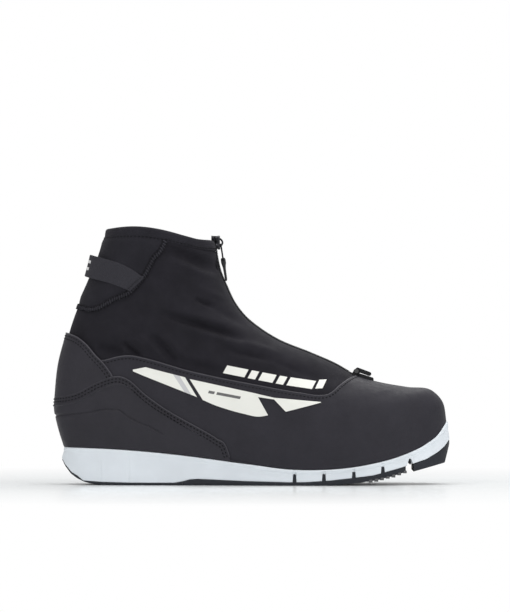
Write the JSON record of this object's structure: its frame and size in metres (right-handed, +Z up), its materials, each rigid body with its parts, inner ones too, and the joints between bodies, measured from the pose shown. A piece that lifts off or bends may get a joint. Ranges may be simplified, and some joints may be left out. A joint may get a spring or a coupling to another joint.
{
  "type": "cross country ski boot",
  "caption": "Right cross country ski boot: zipped lace cover, stiff heel shell, pale sole and toe bar for a touring binding.",
  "frame": {"origin": "on the ground under the middle of the boot's bounding box", "axes": "+X toe, +Y inner side of the right foot, +Z up"},
  "size_m": [0.2988, 0.1003, 0.1943],
  "materials": {
    "white_sole_foam": "satin moulded foam",
    "dark_tread_rubber": "moulded rubber",
    "bar_steel": "ground steel",
    "shank_plastic": "moulded",
    "board_fibre": "fibre board",
    "footbed_foam": "textile covered foam",
    "lining_textile": "brushed knit",
    "counter_plastic": "moulded",
    "cover_softshell": "fine stretch knit",
    "collar_neoprene": "textile faced foam",
    "shell_synthetic": "matt synthetic leather",
    "heel_overlay": "matt synthetic leather",
    "decal_film": "satin film",
    "loop_webbing": "ribbed webbing",
    "zip_tape_weave": "woven tape",
    "zip_coil_nylon": "coiled nylon",
    "slider_metal": "dark plated",
    "pull_cord": "braided",
    "pull_tab_rubber": "moulded",
    "ring_plastic": "moulded",
    "ring_pin_steel": "polished"
  },
  "bodies": {
    "boot": {"sole_unit": "white_sole_foam", "outsole_heel": "dark_tread_rubber", "outsole_forefoot": "dark_tread_rubber", "toe_block": "dark_tread_rubber", "toe_bar": "bar_steel", "shank": "shank_plastic", "lasting_board": "board_fibre", "footbed": "footbed_foam", "lining": "lining_textile", "tongue": "lining_textile", "eyestay_lateral": "counter_plastic", "eyestay_medial": "counter_plastic", "heel_stiffener": "counter_plastic", "toe_puff": "counter_plastic", "gaiter_lateral": "cover_softshell", "gaiter_medial": "cover_softshell", "collar_rear": "collar_neoprene", "collar_hem": "collar_neoprene", "vamp_shell": "shell_synthetic", "heel_lower_overlay": "heel_overlay", "heel_upper_overlay": "heel_overlay", "heel_loop": "loop_webbing", "zip_tape_lateral": "zip_tape_weave", "zip_tape_medial": "zip_tape_weave", "zip_coil_lateral": "zip_coil_nylon", "zip_coil_medial": "zip_coil_nylon", "zip_bottom_stop": "slider_metal", "ring_base": "ring_plastic", "ring_pin": "ring_pin_steel", "decal_lateral_rear": "decal_film", "decal_lateral_middle": "decal_film", "decal_lateral_front": "decal_film", "decal_medial_rear": "decal_film", "decal_medial_middle": "decal_film", "decal_medial_front": "decal_film"},
    "slider": {"zip_slider": "slider_metal"},
    "pull": {"zip_pull_cord": "pull_cord", "zip_pull_tab": "pull_tab_rubber"},
    "ring": {"gaiter_ring": "ring_plastic"}
  },
  "joints": [
    {"name": "zip_travel", "type": "hinge", "parent": "boot", "child": "slider", "pos_m": [0.059, 0, 0.1852], "axis": [0, -1, 0], "range_deg": [0, 74]},
    {"name": "pull_swing", "type": "hinge", "parent": "slider", "child": "pull", "pos_m": [-0.0238, 0, 0.181], "axis": [0, -1, 0], "range_deg": [0, 150]},
    {"name": "ring_flip", "type": "hinge", "parent": "boot", "child": "ring", "pos_m": [0.0786, 0.0016, 0.0853], "axis": [0, -1, 0], "range_deg": [0, 140]}
  ]
}
